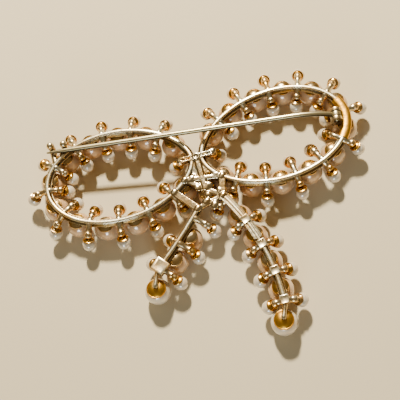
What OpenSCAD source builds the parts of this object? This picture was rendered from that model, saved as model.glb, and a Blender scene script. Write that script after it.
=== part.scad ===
// Bow brooch of imitation pearls on a cast metal frame, lying face down on its pearls.
// X runs along the bow, Y towards its upper edge and Z up out of the surface, so the back shows from above.
// The origin lies on the surface, under the middle of the box that holds the brooch.

/* [Pearls] */
// Diameter of the small pearls at the ends of the arms
small_pearl_d = 3; // [2.4:0.1:3.2]
// Diameter of the big pearls under the rails
big_pearl_d = 5.5; // [4.8:0.1:5.8]
// Diameter of the pearl at the end of each tail
end_pearl_d = 5.6; // [4.8:0.1:6]
// Diameter of the two pearls under the knot
knot_pearl_d = 4.3; // [3.6:0.1:4.4]

/* [Loops] */
// Length of one loop, from the knot to its outer end
loop_l = 33; // [31.5:0.5:36]
// Height of one loop before the knot end is narrowed
loop_h = 22.6; // [22:0.2:25]
// How strongly the loop narrows towards the knot, as a power
loop_taper = 0.15; // [0.1:0.01:0.3]
// Angle by which each loop rises from the knot
loop_lift = 3.8; // [0:0.2:6]
// Distance between the two loops' ends at the knot
loop_gap = 2.2; // [2:0.1:3]
// Spacing of the pairs of arms along a loop's rail
pair_pitch = 6.6; // [6.3:0.05:6.7]
// Spacing from the pair at the outer end to the next one above it, where the bend leaves room
upper_end_gap = 6; // [5.9:0.05:6.4]
// Spacing from the pair at the outer end to the next one below it, where the bend leaves room
lower_end_gap = 7.1; // [6.6:0.05:7.2]
// Least spacing of the inner small pearls round the outer end's bend
bend_pitch = 2.85; // [2.8:0.05:2.95]
// Pairs of arms on each side of a loop's outer end, as far as they fit
loop_side_pairs = 5; // [3:1:5]
// Least distance along a loop from the knot to a pair of arms
knot_run = 9.3; // [8.8:0.1:9.4]
// Distance from the rail to a small pearl's centre on the loops
loop_reach = 4.05; // [3.9:0.05:4.2]
// How far the right loop's rail sits below the middle of its pairs
right_rail_drop = 0.8; // [0:0.1:1]

/* [Rails] */
// Width of the rail's back strip
rail_w = 1.1; // [0.9:0.05:1.3]
// Thickness of the rail's back strip
rail_t = 0.75; // [0.5:0.05:1]
// Width of the web under the back strip
web_w = 0.7; // [0.5:0.05:0.8]
// Height of the web under the back strip
web_t = 0.6; // [0.5:0.05:0.9]

/* [Arms and cups] */
// Thickness of the round arms
arm_d = 0.95; // [0.7:0.05:1.1]
// Diameter of the knob at the end of each arm
knob_d = 1.35; // [1.2:0.05:1.5]
// Height from the small pearls' centres to the underside of the web
small_pearl_drop = 2.35; // [2.2:0.05:2.6]
// Rim diameter of a small pearl's cup
small_cup_d = 2.4; // [1.8:0.1:2.7]
// Angle by which a small pearl's cup leans towards its rail
cup_tilt = 30; // [0:5:35]
// Rim diameter of a big pearl's cup
big_cup_d = 4.2; // [3.4:0.1:4.6]
// Wall of every cup
cup_t = 0.35; // [0.3:0.05:0.45]
// Rim diameter of a knot pearl's cup
knot_cup_d = 3.4; // [3:0.1:3.6]
// Gap between a pearl and its cup
cup_gap = 0.05; // [0.04:0.01:0.08]
// Least metal between a pearl's hollow and the rail or knob behind it
cup_seat = 0.05; // [0.03:0.01:0.1]
// How far the arms' undersides lie above the web's underside
arm_lift = 0.15; // [0.1:0.05:0.2]

/* [Knot] */
// Width of the knot's bars
bar_w = 1; // [0.8:0.05:1.3]
// Distance of the tie bar below the loops' inner ends
tie_drop = -0.4; // [-0.8:0.1:0.4]
// Length of the tie bar
tie_bar_l = 7.2; // [6:0.1:8]
// Distance from the knot's middle to a small pearl of the tie
tie_reach = 5.2; // [5:0.1:5.6]
// Distance of the upper knot pearl below the loops' inner ends
upper_knot_drop = 2.9; // [2.8:0.1:3.2]
// Distance of the lower knot pearl below the loops' inner ends
lower_knot_drop = 8.2; // [8:0.1:8.4]
// Distance of the lower knot pearl to the right of the knot's middle
lower_knot_x = 0.2; // [0:0.1:0.4]
// Distance along the left rail from its knot end to the foot of the cross bar
left_foot_run = 5.4; // [4.6:0.1:6.4]
// The same on the right rail
right_foot_run = 6.2; // [5.2:0.1:7]
// Distance along the left rail from its knot end to the brace of the left tail
left_brace_run = 9; // [8:0.1:10]

/* [Left tail] */
// Distance of the left tail's root inwards from the left loop's last small pearl
left_root_x = 2.6; // [2.1:0.1:3.1]
// Distance of the left tail's root below that pearl
left_root_drop = 1.3; // [0.8:0.1:1.8]
// Length of the left tail's rail
left_tail_l = 15; // [14.5:0.1:16]
// Heading of the left tail where it leaves the knot
left_tail_heading = 228; // [224:1:232]
// Turn of the left tail over its length
left_tail_turn = -8; // [-12:1:-2]
// Pairs of arms on the left tail, as far as they fit
left_tail_pairs = 3; // [2:1:3]
// Distance from the left tail's rail to a small pearl's centre
left_tail_reach = 3.8; // [3.6:0.1:4]
// How far the left tail's pearls sit to the inner side of its rail
left_tail_skew = 1.1; // [0:0.1:1.2]
// Side of the square block at the left tail's end
left_block_w = 3.1; // [2:0.1:3.4]
// Length of the peg that carries the left tail's last pearl
left_peg_l = 4.5; // [4.2:0.1:5]
// Turn of that peg from the left tail's end
left_peg_turn = 23; // [15:1:28]

/* [Right tail] */
// Distance of the right tail's root inwards from the right loop's last small pearl
right_root_x = 1.7; // [1.3:0.1:2.1]
// Distance of the right tail's root below that pearl
right_root_drop = -0.1; // [-0.5:0.1:0.3]
// Length of the right tail's rail
right_tail_l = 26.9; // [26.8:0.1:28]
// Heading of the right tail where it leaves the knot
right_tail_heading = 300; // [297:1:302]
// Turn of the right tail over its length
right_tail_turn = -32; // [-36:1:-26]
// Pairs of arms on the right tail, as far as they fit
right_tail_pairs = 5; // [3:1:5]
// Distance from the right tail's rail to a small pearl's centre
right_tail_reach = 3.45; // [3.4:0.05:3.8]
// Side of the square block at each pair of the right tail
right_block_w = 1.9; // [1.2:0.1:2.4]
// Length of the peg that carries the right tail's last pearl
right_peg_l = 3.8; // [3.6:0.1:4.4]
// Turn of that peg from the right tail's end
right_peg_turn = -17; // [-24:1:-8]

/* [Both tails] */
// Spacing of the pairs of arms along a tail's rail
tail_pitch = 6.45; // [6.2:0.05:6.6]
// How far each tail's first pearl sits beyond the middle of its pairs
first_pearl_shift = 0.7; // [0.5:0.1:0.8]
// Least distance along a tail from its root to its first arm
first_arm_run = 1; // [0.6:0.1:1.1]
// How far the blocks stand proud of the rail's back
block_proud = 0.2; // [0.1:0.05:0.4]

/* [Pin and hinge] */
// Diameter of the pin's wire
pin_d = 1; // [0.8:0.05:1.1]
// Diameter of the pin's tip
tip_d = 0.3; // [0.2:0.05:0.5]
// Length of the pin's sharpened end
point_l = 5; // [3:0.5:8]
// How far the tip passes the outer prong of the catch
tip_reach = 0.9; // [0.6:0.1:2]
// Angle at which the pin's neck rises from the hinge
neck_rise = 28; // [22:1:32]
// Bend radius of the neck
neck_r = 18; // [15:0.5:20]
// Distance of the hinge below the right loop's outer end, along its rail
hinge_run = 1.5; // [0.8:0.1:2]
// Distance of the hinge inside the right loop's rail
hinge_inset = 2.2; // [1.8:0.1:2.4]
// How far the eye reaches below the rail's back
eye_sink = 0.3; // [0.1:0.05:0.5]
// Outer diameter of the eye round the rivet
eye_d = 2.3; // [2:0.1:2.4]
// Width of the eye along the rivet
eye_w = 1.1; // [0.9:0.05:1.3]
// Diameter of the rivet
rivet_d = 0.9; // [0.7:0.05:1]
// Running clearance round the rivet
rivet_gap = 0.05; // [0.03:0.01:0.06]
// Clearance on each side of the eye
eye_gap = 0.12; // [0.08:0.01:0.2]
// Thickness of each hinge lug
lug_t = 0.75; // [0.6:0.05:1]
// How far the lugs reach beyond the eye all round
lug_rim = 0.1; // [0.05:0.05:0.3]
// Gap between the eye and the hinge's floor
floor_gap = 0.15; // [0.1:0.05:0.3]
// Length of each end of the rivet outside the lugs
rivet_end_l = 0.4; // [0.2:0.05:0.6]

/* [Catch] */
// Distance of the pin's crossing above the left loop's outer end, along its rail
catch_run = 10.4; // [9:0.1:11]
// How far along the pin the middle of the prongs lies beyond that crossing
prong_shift = 2; // [1.2:0.1:2.4]
// Distance of the prongs' feet above the left loop's outer end, along its rail
foot_run = 7.6; // [7:0.1:8.4]
// Clearance between the rail's back and the pin where it crosses the rail
crossing_gap = 0.2; // [0.1:0.05:0.4]
// Distance between the two prongs of the catch
prong_pitch = 3.1; // [2.6:0.1:3.4]
// Distance between the prongs' feet along the rail
foot_pitch = 1.8; // [1.4:0.1:2.8]
// Thickness of the prongs
prong_d = 0.85; // [0.7:0.05:1]
// Diameter of the ball on each prong
prong_ball_d = 1.25; // [1.1:0.05:1.4]
// Height of the balls' centres above the pin's axis
ball_rise = 0.35; // [0.2:0.05:1]
// Clearance between the pin and the balls
catch_gap = 0.15; // [0.1:0.01:0.25]

/* [Hidden] */
RIGHT = 1;
LEFT = -1;
SIDES = [LEFT, RIGHT];

// Levels above the surface, from the pearls up
web_z = big_pearl_d + cup_gap + cup_seat;
rail_z = web_z + web_t;
back_z = rail_z + rail_t;
arm_z = web_z + arm_lift + arm_d / 2;
small_pearl_z = web_z - small_pearl_drop;
knot_pearl_z = web_z - cup_gap - cup_seat - knot_pearl_d / 2;

// One loop as a teardrop in its own frame, with the knot end at the origin
LOOP_STEPS = 360;
RAIL_STEPS = 72;
function loop_point(t) = [
    loop_l * (1 - cos(t)) / 2,
    loop_h / 2 * sin(t) * pow(abs(sin(t / 2)), loop_taper)
];
LOOP_POINTS = [for (i = [0:LOOP_STEPS]) loop_point(360 * i / LOOP_STEPS)];
LOOP_RUNS = [
    for (i = 0, s = 0; i <= LOOP_STEPS;
        i = i + 1, s = s + (i <= LOOP_STEPS ? norm(LOOP_POINTS[i] - LOOP_POINTS[i - 1]) : 0)) s
];
LOOP_X = [for (i = [0:LOOP_STEPS]) [LOOP_RUNS[i], LOOP_POINTS[i].x]];
LOOP_Y = [for (i = [0:LOOP_STEPS]) [LOOP_RUNS[i], LOOP_POINTS[i].y]];
loop_run = LOOP_RUNS[LOOP_STEPS];

function turned(p, a) = [p.x * cos(a) - p.y * sin(a), p.x * sin(a) + p.y * cos(a)];
function loop_at(s) = [lookup(s, LOOP_X), lookup(s, LOOP_Y)];
function loop_heading(s) = let (d = loop_at(s + 0.1) - loop_at(s - 0.1)) atan2(d.y, d.x);

// A place beside a loop's rail in the knot's frame: how far along it, and how far outside it
function loop_place(side, s, out = 0) =
    let (p = turned(loop_at(s) + turned([0, out], loop_heading(s)), loop_lift))
    [side * (loop_gap / 2 + p.x), p.y];

// The same on the rail itself, which sits a little below the pairs on the right loop
function rail_place(side, s, out = 0) =
    loop_place(side, s, out) - [0, side == RIGHT ? right_rail_drop : 0];

// A tight bend at the outer end brings the inner pearls together, so the pairs there move apart
end_run = loop_run / 2;
bend_r = loop_h * loop_h / (2 * loop_l);
bend_gap = bend_pitch * bend_r / (bend_r - loop_reach);
upper_gap = max(upper_end_gap, bend_gap);
lower_gap = max(lower_end_gap, bend_gap);

// How many pairs fit between the gap at the outer end and the knot
function side_pairs(gap) = min(loop_side_pairs, 1 + floor((end_run - gap - knot_run) / pair_pitch));

// Runs of the pairs and of the big pearls, counted from the knot round the loop
PAIR_RUNS = concat(
    [for (k = [side_pairs(upper_gap) - 1:-1:0]) end_run - upper_gap - k * pair_pitch],
    [end_run],
    [for (k = [0:side_pairs(lower_gap) - 1]) end_run + lower_gap + k * pair_pitch]
);
last_pair = len(PAIR_RUNS) - 1;
PEARL_RUNS = concat(
    [PAIR_RUNS[0] - pair_pitch / 2],
    [for (i = [1:last_pair]) (PAIR_RUNS[i - 1] + PAIR_RUNS[i]) / 2],
    [PAIR_RUNS[last_pair] + pair_pitch / 2]
);

// Each tail hangs from its loop's last small pearl, with as many pairs as fit. It is written as
// [root, heading, turn, length, pairs, reach, first pair's side, skew of its pearls]
function last_small_pearl(side) = loop_place(side, PAIR_RUNS[last_pair], loop_reach);
function pairs_that_fit(pairs, len) = min(pairs, 1 + floor((len - first_arm_run) / tail_pitch));
LEFT_TAIL = [
    last_small_pearl(LEFT) + [left_root_x, -left_root_drop], left_tail_heading, left_tail_turn,
    left_tail_l, pairs_that_fit(left_tail_pairs, left_tail_l), left_tail_reach, 1, left_tail_skew
];
RIGHT_TAIL = [
    last_small_pearl(RIGHT) + [-right_root_x, -right_root_drop], right_tail_heading, right_tail_turn,
    right_tail_l, pairs_that_fit(right_tail_pairs, right_tail_l), right_tail_reach, -1, 0
];
function tail_root(tail) = tail[0];
function tail_heading(tail, s) = tail[1] + tail[2] * s / tail[3];
function tail_length(tail) = tail[3];
function tail_pairs(tail) = tail[4];
function tail_reach(tail) = tail[5];
function tail_inner_side(tail) = tail[6];
function tail_skew(tail) = tail[7];

// A place beside a tail's rail: how far along it, and how far to its left
function tail_place(tail, s, left = 0) =
    let (
        radius = tail[3] / (tail[2] * PI / 180),
        start = tail_heading(tail, 0),
        end = tail_heading(tail, s)
    )
    tail_root(tail) + radius * [sin(end) - sin(start), cos(start) - cos(end)]
        + turned([0, left], end);
function tail_pair_run(tail, i) = tail_length(tail) - (tail_pairs(tail) - 1 - i) * tail_pitch;

// The places of the end pearls, on their pegs
function peg_end(tail, len, turn) =
    tail_place(tail, tail_length(tail))
        + turned([len, 0], tail_heading(tail, tail_length(tail)) + turn);
LEFT_END = peg_end(LEFT_TAIL, left_peg_l, left_peg_turn);
RIGHT_END = peg_end(RIGHT_TAIL, right_peg_l, right_peg_turn);

// Small pearls as places in the knot's frame
function loop_small_pearls(side) = [
    for (s = PAIR_RUNS) for (out = [loop_reach, -loop_reach]) loop_place(side, s, out)
];
function tail_small_pearls(tail) = [
    for (i = [0:tail_pairs(tail) - 1])
        for (side = i == 0 ? [tail_inner_side(tail)] : [1, -1])
            tail_place(tail, tail_pair_run(tail, i), side * tail_reach(tail) + tail_skew(tail))
];
function tail_pearl_place(tail, i) =
    let (s = tail_pair_run(tail, i) + tail_pitch / 2 + (i == 0 ? first_pearl_shift : 0))
    tail_place(tail, s, tail_skew(tail));

// Places of the knot's pearls and of the tie
TIE = [0, -tie_drop];
UPPER_KNOT = [0, -upper_knot_drop];
LOWER_KNOT = [lower_knot_x, -lower_knot_drop];

// The pin lies in an upright plane that runs from the hinge over the catch on the left rail
HINGE = rail_place(RIGHT, end_run + hinge_run, -hinge_inset);
CATCH = rail_place(LEFT, end_run - catch_run);
catch_l = norm(CATCH - HINGE);
pin_heading = atan2(CATCH.y - HINGE.y, CATCH.x - HINGE.x);
hinge_z = back_z + eye_d / 2 - eye_sink;
catch_z = back_z + pin_d / 2 + crossing_gap;

// The stem falls along the tangent from the neck's bend to its place over the catch
bend_x = neck_r * sin(neck_rise);
bend_z = hinge_z - neck_r * cos(neck_rise);
stem_fall = asin(neck_r / norm([catch_l - bend_x, catch_z - bend_z]))
    + atan2(bend_z - catch_z, catch_l - bend_x);
// The neck starts inside the eye's wall, clear of the bore
neck_start = asin((rivet_d + eye_d) / 4 / neck_r);
neck_run = bend_x + neck_r * sin(stem_fall);
neck_z = bend_z + neck_r * cos(stem_fall);
pin_l = catch_l + prong_shift + prong_pitch / 2 + tip_reach;
stem_l = (pin_l - neck_run) / cos(stem_fall) - point_l;
hinge_w = eye_w + 2 * (eye_gap + lug_t);
lug_d = eye_d + 2 * lug_rim;
rivet_l = hinge_w + 2 * rivet_end_l;

// The catch's prongs stand beyond the pin, at these runs from the rivet
prong_side = (pin_d + prong_ball_d) / 2 + catch_gap;
PRONG_RUNS = [for (i = [-1, 1]) catch_l + prong_shift + i * prong_pitch / 2];
function pin_z(run) = neck_z - (run - neck_run) * tan(stem_fall);
function pin_place(run, side = 0) = HINGE + turned([run, -side], pin_heading);

// The middle of the whole brooch, which becomes the origin
top_y = max([for (p = loop_small_pearls(RIGHT)) p.y]) + small_pearl_d / 2;
bottom_y = RIGHT_END.y - end_pearl_d / 2;
MIDDLE = [0, (top_y + bottom_y) / 2];

LOOP_PEARLS = len(PEARL_RUNS);

METAL = "#d9c9a3";
PIN_METAL = "#e6dcc0";
PEARL = "#efe6d8";

// Overlap of stacked solids, and the step in level that keeps crossing bars from lying flush
EXTRA = 0.01;
LEVEL_STEP = 0.04;
// Height of the rails' underside that bars, blocks and the hinge leave bare
UNDERCUT = 0.1;
// Distance from a rail's middle at which an arm starts inside it, clear of the arm on its other side
ARM_ROOT = 0.2;
// Share of a block's side between its middle and the start of its peg
PEG_START = 1 / 3;
// How much thicker than its wire the bead at a bend is
BEAD_EXTRA = 0.1;

// A point in space from a place and a level
function at_level(place, z) = [place.x, place.y, z];

// A round rod between two points
module rod(from, to, d) {
    v = to - from;
    translate(from)
        rotate([0, acos(v.z / norm(v)), atan2(v.y, v.x)])
            cylinder(h = norm(v), d = d, $fn = 24);
}

// A square bar between two places, from one level up to another
module bar(from, to, w, z, t) {
    v = to - from;
    translate([from.x, from.y, z])
        rotate(atan2(v.y, v.x))
            translate([0, -w / 2, 0])
                cube([norm(v), w, t]);
}

// A cup that hugs the back of a pearl, centred on the pearl
module cup(pearl_d, rim_d) {
    inner_r = pearl_d / 2 + cup_gap;
    outer_r = inner_r + cup_t;
    rim_z = sqrt(outer_r * outer_r - rim_d * rim_d / 4);
    reach = outer_r + EXTRA;
    difference() {
        sphere(r = outer_r, $fn = 48);
        sphere(r = inner_r, $fn = 48);
        translate([-reach, -reach, rim_z - 2 * reach])
            cube(2 * reach);
    }
}

// An arm from the rail down to a knob on a small pearl's cup, which leans towards the rail
module arm(from, to) {
    turn = atan2(from.y - to.y, from.x - to.x);
    knob_r = small_pearl_d / 2 + cup_gap + cup_seat + knob_d / 2;
    knob_place = to + turned([knob_r * sin(cup_tilt), 0], turn);
    knob = at_level(knob_place, small_pearl_z + knob_r * cos(cup_tilt));
    rod(at_level(from, arm_z), knob, arm_d);
    translate(knob) sphere(d = knob_d, $fn = 24);
    translate(at_level(to, small_pearl_z)) rotate([0, cup_tilt, turn]) cup(small_pearl_d, small_cup_d);
}

module big_cup(place) translate(at_level(place, big_pearl_d / 2)) cup(big_pearl_d, big_cup_d);

// A flat strip of the given width along a loop's rail
module loop_strip(side, w) {
    runs = [for (i = [0:RAIL_STEPS - 1]) LOOP_RUNS[floor(i * LOOP_STEPS / RAIL_STEPS)]];
    difference() {
        polygon([for (s = runs) rail_place(side, s, w / 2)]);
        polygon([for (s = runs) rail_place(side, s, -w / 2)]);
    }
}

// A flat strip of the given width along a tail's rail
module tail_strip(tail, w) {
    steps = 12;
    runs = [for (i = [0:steps]) i * tail_length(tail) / steps];
    polygon(concat(
        [for (s = runs) tail_place(tail, s, w / 2)],
        [for (i = [steps:-1:0]) tail_place(tail, runs[i], -w / 2)]
    ));
}

// A rail is a back strip on a narrower web
module loop_rail(side) {
    translate([0, 0, rail_z]) linear_extrude(rail_t) loop_strip(side, rail_w);
    translate([0, 0, web_z]) linear_extrude(web_t + EXTRA) loop_strip(side, web_w);
}

module tail_rail(tail) {
    translate([0, 0, rail_z]) linear_extrude(rail_t) tail_strip(tail, rail_w);
    translate([0, 0, web_z]) linear_extrude(web_t + EXTRA) tail_strip(tail, web_w);
}

module loop_frame(side) {
    loop_rail(side);
    for (s = PAIR_RUNS)
        for (out = [loop_reach, -loop_reach])
            arm(rail_place(side, s, sign(out) * ARM_ROOT), loop_place(side, s, out));
    for (s = PEARL_RUNS) big_cup(loop_place(side, s));
}

// A square block on a tail's rail, along the tail
module block(tail, s, w) {
    translate(at_level(tail_place(tail, s), web_z + UNDERCUT))
        rotate(tail_heading(tail, s))
            translate([-w / 2, -w / 2, 0])
                cube([w, w, back_z + block_proud - web_z - UNDERCUT]);
}

module tail_frame(tail, end, block_w) {
    last = tail_length(tail);
    peg_z = end_pearl_d + cup_gap + cup_seat + arm_d / 2;
    tail_rail(tail);
    for (i = [0:tail_pairs(tail) - 1]) {
        s = tail_pair_run(tail, i);
        for (side = i == 0 ? [tail_inner_side(tail)] : [1, -1])
            arm(
                tail_place(tail, s, side * ARM_ROOT),
                tail_place(tail, s, side * tail_reach(tail) + tail_skew(tail))
            );
    }
    for (i = [0:tail_pairs(tail) - 2]) big_cup(tail_pearl_place(tail, i));
    block(tail, last, block_w);
    rod(at_level(tail_place(tail, last + block_w * PEG_START), arm_z), at_level(end, peg_z), arm_d);
    translate(at_level(end, end_pearl_d / 2)) cup(end_pearl_d, big_cup_d);
}

// The bars that join the loops and the tails behind the knot, each a little thinner than the last
module knot_frame() {
    left_foot = rail_place(LEFT, loop_run - left_foot_run);
    right_foot = rail_place(RIGHT, loop_run - right_foot_run);
    left_root = tail_root(LEFT_TAIL);
    right_root = tail_root(RIGHT_TAIL);
    bars = [
        [TIE, LOWER_KNOT],
        [TIE - [tie_bar_l / 2, 0], TIE + [tie_bar_l / 2, 0]],
        [left_foot, right_foot],
        [right_foot, right_root],
        [rail_place(LEFT, loop_run - left_brace_run), left_root],
        [left_root, right_root],
        [left_foot, right_root]
    ];
    for (i = [0:len(bars) - 1]) {
        lift = UNDERCUT + i * LEVEL_STEP;
        bar(bars[i][0], bars[i][1], bar_w, web_z + lift, back_z - web_z + block_proud - 2 * lift);
    }
    for (side = SIDES) arm(TIE + [side * ARM_ROOT, 0], TIE + [side * tie_reach, 0]);
    for (place = [UPPER_KNOT, LOWER_KNOT])
        translate(at_level(place, knot_pearl_z)) cup(knot_pearl_d, knot_cup_d);
}

// In the pin's upright plane: X runs from the rivet towards the tip and Z is up
module in_pin_plane() translate(at_level(HINGE, hinge_z)) rotate(pin_heading) children();

// A cylinder along the rivet, centred on the pin's plane
module across(d, l) rotate([90, 0, 0]) cylinder(h = l, d = d, center = true, $fn = 48);

// Two lugs on a floor that reaches back to the rail
module hinge_lugs() {
    base_z = web_z + UNDERCUT - hinge_z;
    in_pin_plane() difference() {
        union() {
            for (side = SIDES)
                translate([0, side * (hinge_w - lug_t) / 2, 0]) {
                    across(lug_d, lug_t);
                    translate([-lug_d / 2, -lug_t / 2, base_z])
                        cube([lug_d, lug_t, -base_z]);
                }
            translate([-hinge_inset, -hinge_w / 2, base_z])
                cube([hinge_inset + lug_d / 2, hinge_w, -base_z - eye_d / 2 - floor_gap]);
        }
        across(rivet_d + 2 * rivet_gap, hinge_w + EXTRA);
    }
}

module catch_prongs() {
    foot_z = web_z + UNDERCUT + prong_d / 2;
    for (i = [0:1]) {
        foot = rail_place(LEFT, end_run - foot_run + (i - 0.5) * foot_pitch);
        top = pin_place(PRONG_RUNS[i], prong_side);
        ball_z = pin_z(PRONG_RUNS[i]) + ball_rise;
        rod(at_level(foot, foot_z), at_level(top, foot_z), prong_d);
        translate(at_level(top, foot_z)) sphere(d = prong_d + BEAD_EXTRA, $fn = 24);
        rod(at_level(top, foot_z), at_level(top, ball_z), prong_d - BEAD_EXTRA);
        translate(at_level(top, ball_z)) sphere(d = prong_ball_d, $fn = 32);
    }
}

module frame() color(METAL) {
    for (side = SIDES) loop_frame(side);
    tail_frame(LEFT_TAIL, LEFT_END, left_block_w);
    tail_frame(RIGHT_TAIL, RIGHT_END, right_block_w);
    for (i = [1:tail_pairs(RIGHT_TAIL) - 2])
        block(RIGHT_TAIL, tail_pair_run(RIGHT_TAIL, i), right_block_w);
    knot_frame();
    hinge_lugs();
    catch_prongs();
}

// The eye, the bent neck, the straight stem and its point, with a bead where neck and stem meet
module pin_stem() color(PIN_METAL) in_pin_plane() difference() {
    union() {
        across(eye_d, eye_w);
        rotate([90, 0, 0])
            translate([bend_x, bend_z - hinge_z, 0])
                rotate(90 - stem_fall)
                    rotate_extrude(angle = neck_rise + stem_fall - neck_start, $fn = 180)
                        translate([neck_r, 0]) circle(d = pin_d, $fn = 32);
        translate([neck_run, 0, neck_z - hinge_z]) {
            sphere(d = pin_d + BEAD_EXTRA, $fn = 32);
            rotate([0, 90 + stem_fall, 0]) {
                cylinder(h = stem_l, d = pin_d, $fn = 32);
                translate([0, 0, stem_l]) cylinder(h = point_l, d1 = pin_d, d2 = tip_d, $fn = 32);
            }
        }
    }
    across(rivet_d + 2 * rivet_gap, eye_w + EXTRA);
}

module hinge_rivet() color(PIN_METAL) in_pin_plane() across(rivet_d, rivet_l);

module pearl(place, z, d) color(PEARL) translate(at_level(place, z)) sphere(d = d, $fn = 48);
module small_pearls(places) for (p = places) pearl(p, small_pearl_z, small_pearl_d);
module big_pearl(place) pearl(place, big_pearl_d / 2, big_pearl_d);

module in_place() translate([-MIDDLE.x, -MIDDLE.y, 0]) children();

in_place() frame();
in_place() pin_stem();
in_place() hinge_rivet();
in_place() small_pearls(loop_small_pearls(LEFT));  // small_pearls_left_loop
in_place() small_pearls(loop_small_pearls(RIGHT));  // small_pearls_right_loop
in_place() small_pearls(tail_small_pearls(LEFT_TAIL));  // small_pearls_left_tail
in_place() small_pearls(tail_small_pearls(RIGHT_TAIL));  // small_pearls_right_tail
in_place() small_pearls([for (side = SIDES) TIE + [side * tie_reach, 0]]);  // small_pearls_tie
for (i = [1:LOOP_PEARLS]) {
    in_place() big_pearl(loop_place(LEFT, PEARL_RUNS[i - 1]));
    in_place() big_pearl(loop_place(RIGHT, PEARL_RUNS[i - 1]));
}
for (i = [1:tail_pairs(LEFT_TAIL) - 1])
    in_place() big_pearl(tail_pearl_place(LEFT_TAIL, i - 1));
for (i = [1:tail_pairs(RIGHT_TAIL) - 1])
    in_place() big_pearl(tail_pearl_place(RIGHT_TAIL, i - 1));
in_place() pearl(UPPER_KNOT, knot_pearl_z, knot_pearl_d);  // upper_knot_pearl
in_place() pearl(LOWER_KNOT, knot_pearl_z, knot_pearl_d);  // lower_knot_pearl
in_place() pearl(LEFT_END, end_pearl_d / 2, end_pearl_d);  // left_end_pearl
in_place() pearl(RIGHT_END, end_pearl_d / 2, end_pearl_d);  // right_end_pearl
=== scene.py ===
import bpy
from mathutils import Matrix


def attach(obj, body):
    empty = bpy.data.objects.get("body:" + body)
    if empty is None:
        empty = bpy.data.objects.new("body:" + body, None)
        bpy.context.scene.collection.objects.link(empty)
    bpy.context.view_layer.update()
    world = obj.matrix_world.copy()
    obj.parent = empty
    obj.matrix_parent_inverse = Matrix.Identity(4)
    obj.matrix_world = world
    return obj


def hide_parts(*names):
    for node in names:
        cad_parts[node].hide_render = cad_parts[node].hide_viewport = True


bl_info = {
    "name": "Pearl Bow Brooch",
    "version": (1, 0, 0),
    "blender": (4, 5, 0),
    "location": "View3D > Sidebar > Brooch",
    "description": "Dresses the fixed frame of a bow brooch of imitation pearls that lies face down",
    "category": "Add Mesh",
}

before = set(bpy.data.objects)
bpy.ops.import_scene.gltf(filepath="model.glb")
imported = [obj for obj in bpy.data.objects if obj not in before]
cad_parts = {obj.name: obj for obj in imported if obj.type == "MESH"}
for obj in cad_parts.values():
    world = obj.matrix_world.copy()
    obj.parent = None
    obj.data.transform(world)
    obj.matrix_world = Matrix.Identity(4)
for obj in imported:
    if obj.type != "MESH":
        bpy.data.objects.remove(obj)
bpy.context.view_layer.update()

import bisect
import math
from collections import namedtuple
from contextlib import contextmanager
from functools import lru_cache, partial

import bmesh
import bpy
from mathutils import Matrix, Vector

MM = 0.001
LEFT = -1
RIGHT = 1
SIDES = (LEFT, RIGHT)
SIDE_WORDS = {LEFT: "left", RIGHT: "right"}
FIXED_BODY = "brooch"
PIN_BODY = "pin"

# Into how many steps each path is cut
LOOP_STEPS = 360
RAIL_STEPS = 120
TAIL_STEPS = 24
NECK_STEPS = 28
STEM_STEPS = 12

# Places and gaps that the fixed frame also has
PAIRS_EACH_WAY = 5
CUP_SEAT = 0.05 * MM
ARM_LIFT = 0.15 * MM
TIE_PLACE = Vector((0, 0.4 * MM))
TIE_HALF_L = 3.6 * MM
TIE_REACH = 5.2 * MM
KNOT_PEARL_PLACES = (Vector((0, -2.9 * MM)), Vector((0.2 * MM, -8.2 * MM)))
LEFT_FOOT_RUN = 5.4 * MM
RIGHT_FOOT_RUN = 6.2 * MM
LEFT_BRACE_RUN = 9 * MM
HINGE_RUN = 1.5 * MM
HINGE_INSET = 2.2 * MM
EYE_SINK = 0.3 * MM
EYE_GAP = 0.12 * MM
RIVET_GAP = 0.05 * MM
LUG_T = 0.75 * MM
LUG_RIM = 0.1 * MM
FLOOR_GAP = 0.15 * MM
CATCH_RUN = 10.4 * MM
CROSSING_GAP = 0.2 * MM
FOOT_RUN = 7.6 * MM
FOOT_PITCH = 1.8 * MM
PRONG_SHIFT = 2 * MM
PRONG_PITCH = 3.1 * MM
BALL_RISE = 0.35 * MM
TIP_REACH = 0.9 * MM

# Sizes and angles of the dressed pieces alone
PRONG_R = 0.78 * MM
PRONG_BALL_R = 0.86 * MM
RIM_ROLL_R = 0.17 * MM
SMOOTH_ANGLE = math.radians(40)
BEVEL_ANGLE = math.radians(35)

# The camera was fitted to the photograph: where it stands, how far it is turned, and its focal length
CAMERA_PLACE = (4.84 * MM, -66.66 * MM, 167.49 * MM)
CAMERA_AXES = (
    (0.96245, -0.23325, -0.13888), (0.26895, 0.88879, 0.37110), (0.03687, -0.39451, 0.91815),
)
CAMERA_LENS = 73.17


def linear(hex_colour):
    """A colour such as #e8dcc0 as linear red, green, blue and alpha."""
    values = [int(hex_colour[i:i + 2], 16) / 255 for i in (1, 3, 5)]
    return tuple(v / 12.92 if v <= 0.04045 else ((v + 0.055) / 1.055) ** 2.4 for v in values) + (1.0,)


def length(name, description, millimetres):
    """A length property, given in millimetres."""
    return bpy.props.FloatProperty(
        name=name, description=description, default=millimetres * MM, unit="LENGTH", precision=5
    )


def angle(name, description, degrees):
    """An angle property, given in degrees."""
    return bpy.props.FloatProperty(
        name=name, description=description, default=math.radians(degrees), subtype="ANGLE"
    )


def colour(name, description, hex_colour):
    """A colour property, given as a hex value."""
    return bpy.props.FloatVectorProperty(
        name=name, description=description, default=linear(hex_colour), subtype="COLOR",
        size=4, min=0.0, max=1.0,
    )


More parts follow.
